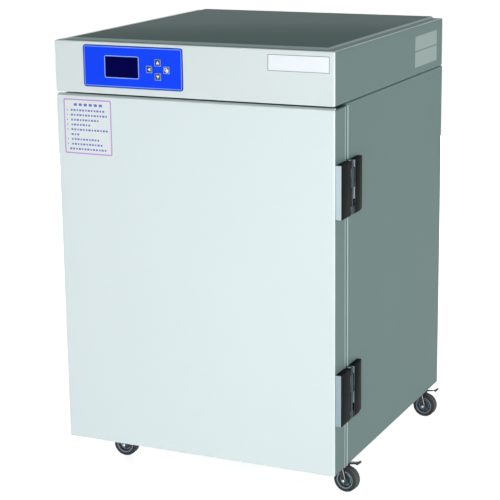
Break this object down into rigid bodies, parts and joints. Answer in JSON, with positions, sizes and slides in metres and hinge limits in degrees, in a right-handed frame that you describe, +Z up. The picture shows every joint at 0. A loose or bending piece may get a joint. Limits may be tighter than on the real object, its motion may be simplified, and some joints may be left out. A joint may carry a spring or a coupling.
{
  "type": "water-jacketed incubator",
  "caption": "Laboratory incubator cabinet on castors: full-height door, inner glass door, wire shelves, water jacket and a control head with keypad and display.",
  "frame": {"origin": "on the floor, under the middle of the overall box", "axes": "+Z up, the door faces -Y, the door hinges are on the +X side"},
  "size_m": [0.5874, 0.6503, 0.8725],
  "materials": {
    "case_grey": "semi-gloss grey-green enamel",
    "white_paint": "gloss white enamel",
    "stainless": "brushed stainless sheet",
    "zinc": "bright zinc plate",
    "insulation_wool": "mineral wool slab",
    "liner_paint": "satin enamel",
    "gasket_rubber": "soft magnetic seal",
    "hinge_black": "gloss black enamel on cast metal",
    "keypad_blue": "printed polyester film",
    "display_dark": "dark clear window",
    "key_navy": "satin moulding",
    "board_green": "solder mask",
    "black_plastic": "fine-grained moulding",
    "clear_glass": "clear float glass",
    "anodised": "natural anodised",
    "brass_fitting": "turned",
    "heater_sheath": "drawn tube, oxidised",
    "castor_black": "black electrocoat on pressed steel",
    "hub_plastic": "moulded nylon",
    "tyre_black": "black rubber tread"
  },
  "bodies": {
    "cabinet": {"base_plate": "zinc", "castor_front_left_plate": "zinc", "castor_front_right_plate": "zinc", "castor_rear_left_plate": "zinc", "castor_rear_right_plate": "zinc", "control_board": "board_green", "control_fascia": "white_paint", "display_window": "display_dark", "drain_valve": "brass_fitting", "filler_neck": "black_plastic", "front_frame": "stainless", "head_shell": "case_grey", "heater_element": "heater_sheath", "hinge_cabinet_leaf_lower": "hinge_black", "hinge_cabinet_leaf_upper": "hinge_black", "inner_chamber": "stainless", "insulation": "insulation_wool", "keypad_panel": "keypad_blue", "outer_case": "case_grey", "overflow_pipe": "brass_fitting", "power_inlet": "black_plastic", "rear_panel": "case_grey", "temperature_probe": "stainless", "top_cover": "case_grey", "water_jacket": "stainless"},
    "door": {"door_panel": "white_paint", "door_tray": "case_grey", "door_insulation": "insulation_wool", "door_liner": "liner_paint", "door_gasket": "gasket_rubber", "hinge_door_leaf_upper": "hinge_black", "hinge_door_leaf_lower": "hinge_black"},
    "glass_door": {"glass_frame": "anodised", "glass_pane": "clear_glass", "glass_knob": "black_plastic"},
    "shelf_upper": {"shelf_upper": "stainless"},
    "shelf_lower": {"shelf_lower": "stainless"},
    "key_up": {"key_up": "key_navy"},
    "key_left": {"key_left": "key_navy"},
    "key_down": {"key_down": "key_navy"},
    "key_menu": {"key_menu": "key_navy"},
    "power_switch": {"power_switch": "black_plastic"},
    "filler_lid": {"filler_lid": "black_plastic"},
    "drain_handle": {"drain_handle": "black_plastic"},
    "castor_front_left_swivel": {"castor_front_left_fork": "castor_black"},
    "castor_front_left_wheel": {"castor_front_left_tyre": "tyre_black", "castor_front_left_hub": "hub_plastic"},
    "castor_front_left_brake": {"castor_front_left_brake": "castor_black"},
    "castor_front_right_swivel": {"castor_front_right_fork": "castor_black"},
    "castor_front_right_wheel": {"castor_front_right_tyre": "tyre_black", "castor_front_right_hub": "hub_plastic"},
    "castor_front_right_brake": {"castor_front_right_brake": "castor_black"},
    "castor_rear_left_swivel": {"castor_rear_left_fork": "castor_black"},
    "castor_rear_left_wheel": {"castor_rear_left_tyre": "tyre_black", "castor_rear_left_hub": "hub_plastic"},
    "castor_rear_left_brake": {"castor_rear_left_brake": "castor_black"},
    "castor_rear_right_swivel": {"castor_rear_right_fork": "castor_black"},
    "castor_rear_right_wheel": {"castor_rear_right_tyre": "tyre_black", "castor_rear_right_hub": "hub_plastic"},
    "castor_rear_right_brake": {"castor_rear_right_brake": "castor_black"}
  },
  "joints": [
    {"name": "door_swing", "type": "hinge", "parent": "cabinet", "child": "door", "pos_m": [0.28825, -0.26535, 0.06998], "axis": [0, 0, 1], "range_deg": [0, 110]},
    {"name": "glass_door_swing", "type": "hinge", "parent": "cabinet", "child": "glass_door", "pos_m": [0.21675, -0.23955, 0.15348], "axis": [0, 0, 1], "range_deg": [0, 94]},
    {"name": "shelf_upper_slide", "type": "slide", "parent": "cabinet", "child": "shelf_upper", "axis": [0, -1, 0], "range_m": [0, 0.079]},
    {"name": "shelf_lower_slide", "type": "slide", "parent": "cabinet", "child": "shelf_lower", "axis": [0, -1, 0], "range_m": [0, 0.079]},
    {"name": "key_up_press", "type": "slide", "parent": "cabinet", "child": "key_up", "axis": [0, 1, 0], "range_m": [0, 0.0006], "stiffness_N_per_m": 800},
    {"name": "key_left_press", "type": "slide", "parent": "cabinet", "child": "key_left", "axis": [0, 1, 0], "range_m": [0, 0.0006], "stiffness_N_per_m": 800},
    {"name": "key_down_press", "type": "slide", "parent": "cabinet", "child": "key_down", "axis": [0, 1, 0], "range_m": [0, 0.0006], "stiffness_N_per_m": 800},
    {"name": "key_menu_press", "type": "slide", "parent": "cabinet", "child": "key_menu", "axis": [0, 1, 0], "range_m": [0, 0.0006], "stiffness_N_per_m": 800},
    {"name": "power_switch_rock", "type": "hinge", "parent": "cabinet", "child": "power_switch", "pos_m": [0.12375, 0.27965, 0.81998], "axis": [-1, 0, 0], "range_deg": [0, 20]},
    {"name": "filler_lid_flip", "type": "hinge", "parent": "cabinet", "child": "filler_lid", "pos_m": [-0.15625, 0.28515, 0.73178], "axis": [1, 0, 0], "range_deg": [0, 90]},
    {"name": "drain_handle_turn", "type": "hinge", "parent": "cabinet", "child": "drain_handle", "pos_m": [-0.15625, 0.29715, 0.14598], "axis": [0, 0, 1], "range_deg": [0, 90]},
    {"name": "castor_front_left_swivel", "type": "hinge", "parent": "cabinet", "child": "castor_front_left_swivel", "pos_m": [-0.25175, -0.21285, 0], "axis": [0, 0, 1], "continuous": true},
    {"name": "castor_front_left_roll", "type": "hinge", "parent": "castor_front_left_swivel", "child": "castor_front_left_wheel", "pos_m": [-0.22678, -0.21154, 0.02518], "axis": [-0.0523, 0.9986, 0], "continuous": true},
    {"name": "castor_front_left_brake", "type": "hinge", "parent": "castor_front_left_swivel", "child": "castor_front_left_brake", "pos_m": [-0.23378, -0.21191, 0.05578], "axis": [-0.0523, 0.9986, 0], "range_deg": [0, 14]},
    {"name": "castor_front_right_swivel", "type": "hinge", "parent": "cabinet", "child": "castor_front_right_swivel", "pos_m": [0.23925, -0.21285, 0], "axis": [0, 0, 1], "continuous": true},
    {"name": "castor_front_right_roll", "type": "hinge", "parent": "castor_front_right_swivel", "child": "castor_front_right_wheel", "pos_m": [0.26401, -0.21633, 0.02518], "axis": [0.1392, 0.9903, 0], "continuous": true},
    {"name": "castor_front_right_brake", "type": "hinge", "parent": "castor_front_right_swivel", "child": "castor_front_right_brake", "pos_m": [0.25707, -0.21535, 0.05578], "axis": [0.1392, 0.9903, 0], "range_deg": [0, 14]},
    {"name": "castor_rear_left_swivel", "type": "hinge", "parent": "cabinet", "child": "castor_rear_left_swivel", "pos_m": [-0.25175, 0.25315, 0], "axis": [0, 0, 1], "continuous": true},
    {"name": "castor_rear_left_roll", "type": "hinge", "parent": "castor_rear_left_swivel", "child": "castor_rear_left_wheel", "pos_m": [-0.22891, 0.24298, 0.02518], "axis": [0.4067, 0.9135, 0], "continuous": true},
    {"name": "castor_rear_left_brake", "type": "hinge", "parent": "castor_rear_left_swivel", "child": "castor_rear_left_brake", "pos_m": [-0.23531, 0.24583, 0.05578], "axis": [0.4067, 0.9135, 0], "range_deg": [0, 14]},
    {"name": "castor_rear_right_swivel", "type": "hinge", "parent": "cabinet", "child": "castor_rear_right_swivel", "pos_m": [0.23925, 0.25315, 0], "axis": [0, 0, 1], "continuous": true},
    {"name": "castor_rear_right_roll", "type": "hinge", "parent": "castor_rear_right_swivel", "child": "castor_rear_right_wheel", "pos_m": [0.26423, 0.25228, 0.02518], "axis": [0.0349, 0.9994, 0], "continuous": true},
    {"name": "castor_rear_right_brake", "type": "hinge", "parent": "castor_rear_right_swivel", "child": "castor_rear_right_brake", "pos_m": [0.25724, 0.25252, 0.05578], "axis": [0.0349, 0.9994, 0], "range_deg": [0, 14]}
  ],
  "couplings": [
    {"joint": "glass_door_swing", "follows": "door_swing", "ratio": 0.85},
    {"joint": "shelf_upper_slide", "follows": "door_swing", "m_per_rad": 0.041},
    {"joint": "shelf_lower_slide", "follows": "door_swing", "m_per_rad": 0.041}
  ]
}
